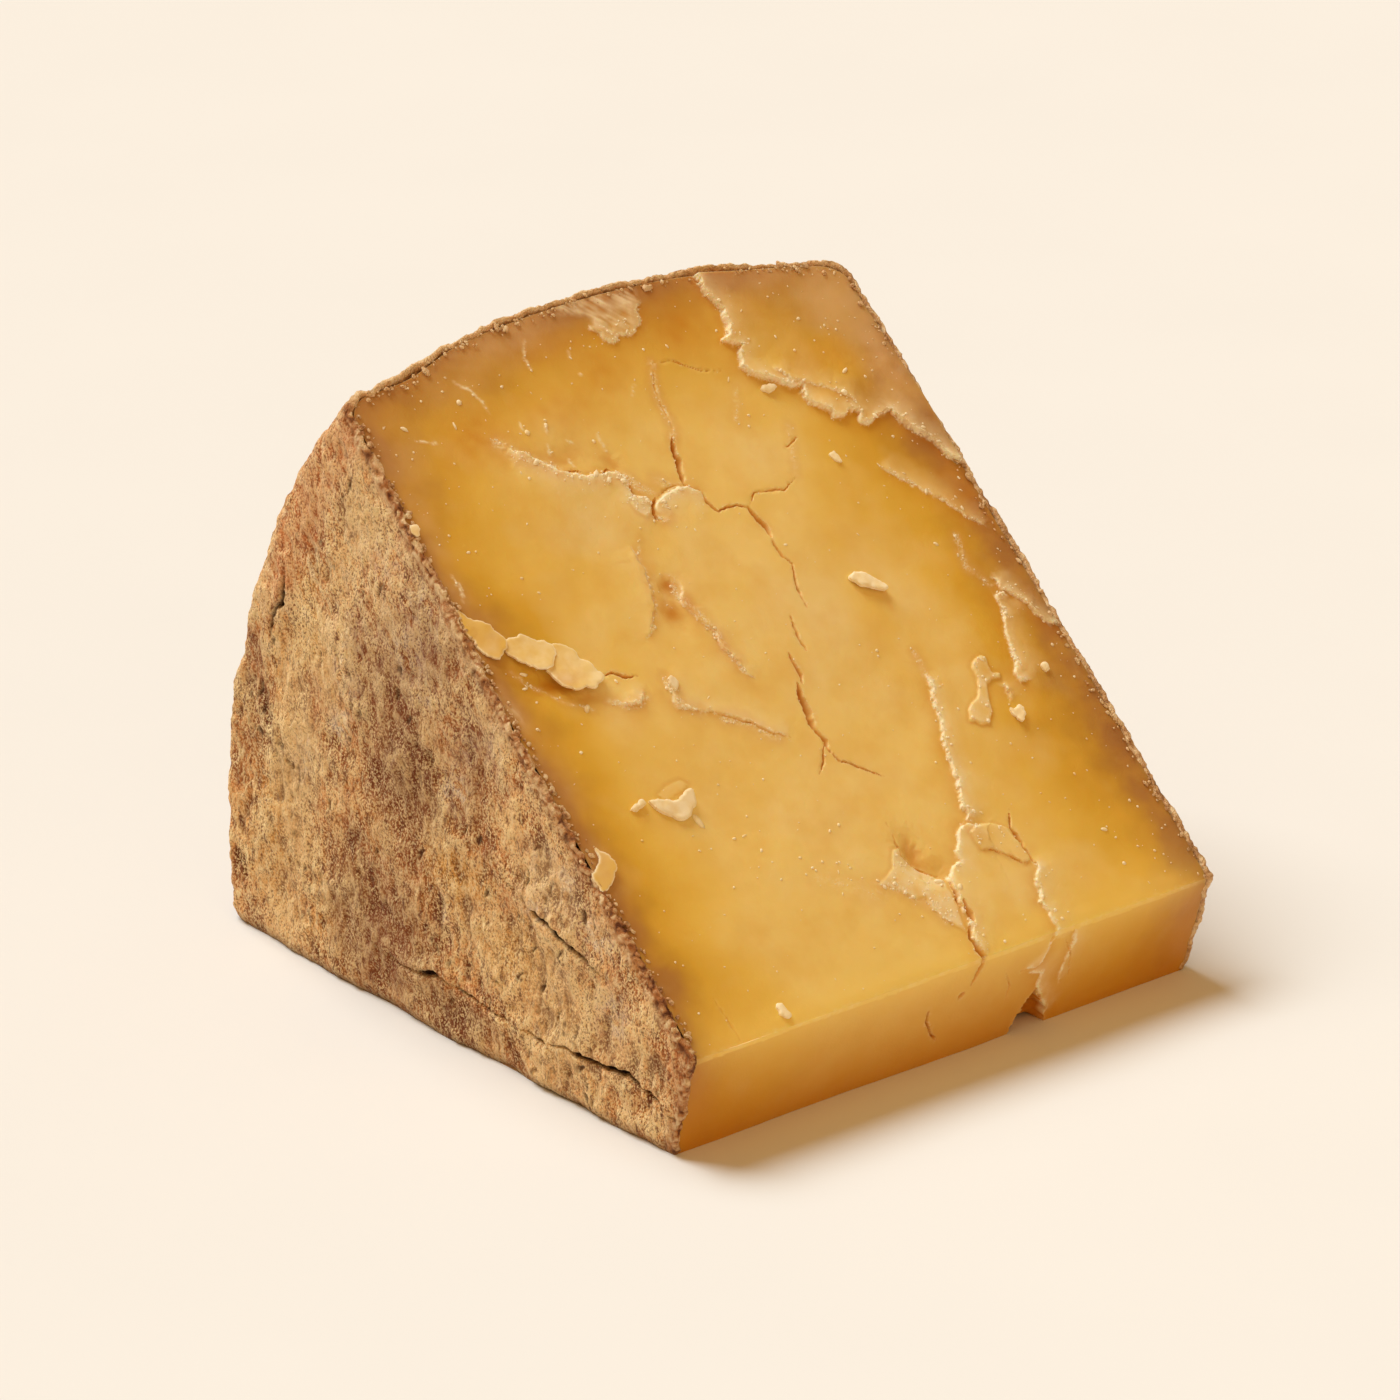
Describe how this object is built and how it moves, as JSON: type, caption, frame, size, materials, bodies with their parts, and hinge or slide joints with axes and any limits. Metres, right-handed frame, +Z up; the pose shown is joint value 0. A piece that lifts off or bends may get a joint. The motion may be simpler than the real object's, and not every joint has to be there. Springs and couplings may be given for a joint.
{
  "type": "comte cheese wedge",
  "caption": "Wedge of aged hard cheese with brown rind on both flat sides and the rim, lying on a cut side; its cracked, flaking paste slopes up from a low tip.",
  "frame": {"origin": "middle of the wedge's bounding box, on the floor that it lies on", "axes": "+Z up; -Y the small cut face at the tip, the front; +Y the rim of the wheel, at the back; X along the wheel's axis, with one flat rind facing -X and the other +X"},
  "size_m": [0.1094, 0.1297, 0.1036],
  "materials": {
    "paste": "dense waxy golden yellow paste, cream where it is torn and brown next to the rind",
    "rind": "dry, grainy, mottled brown rind with pale bloom and dark stains"
  },
  "bodies": {
    "root": {"comte_wedge": "paste"}
  },
  "joints": []
}
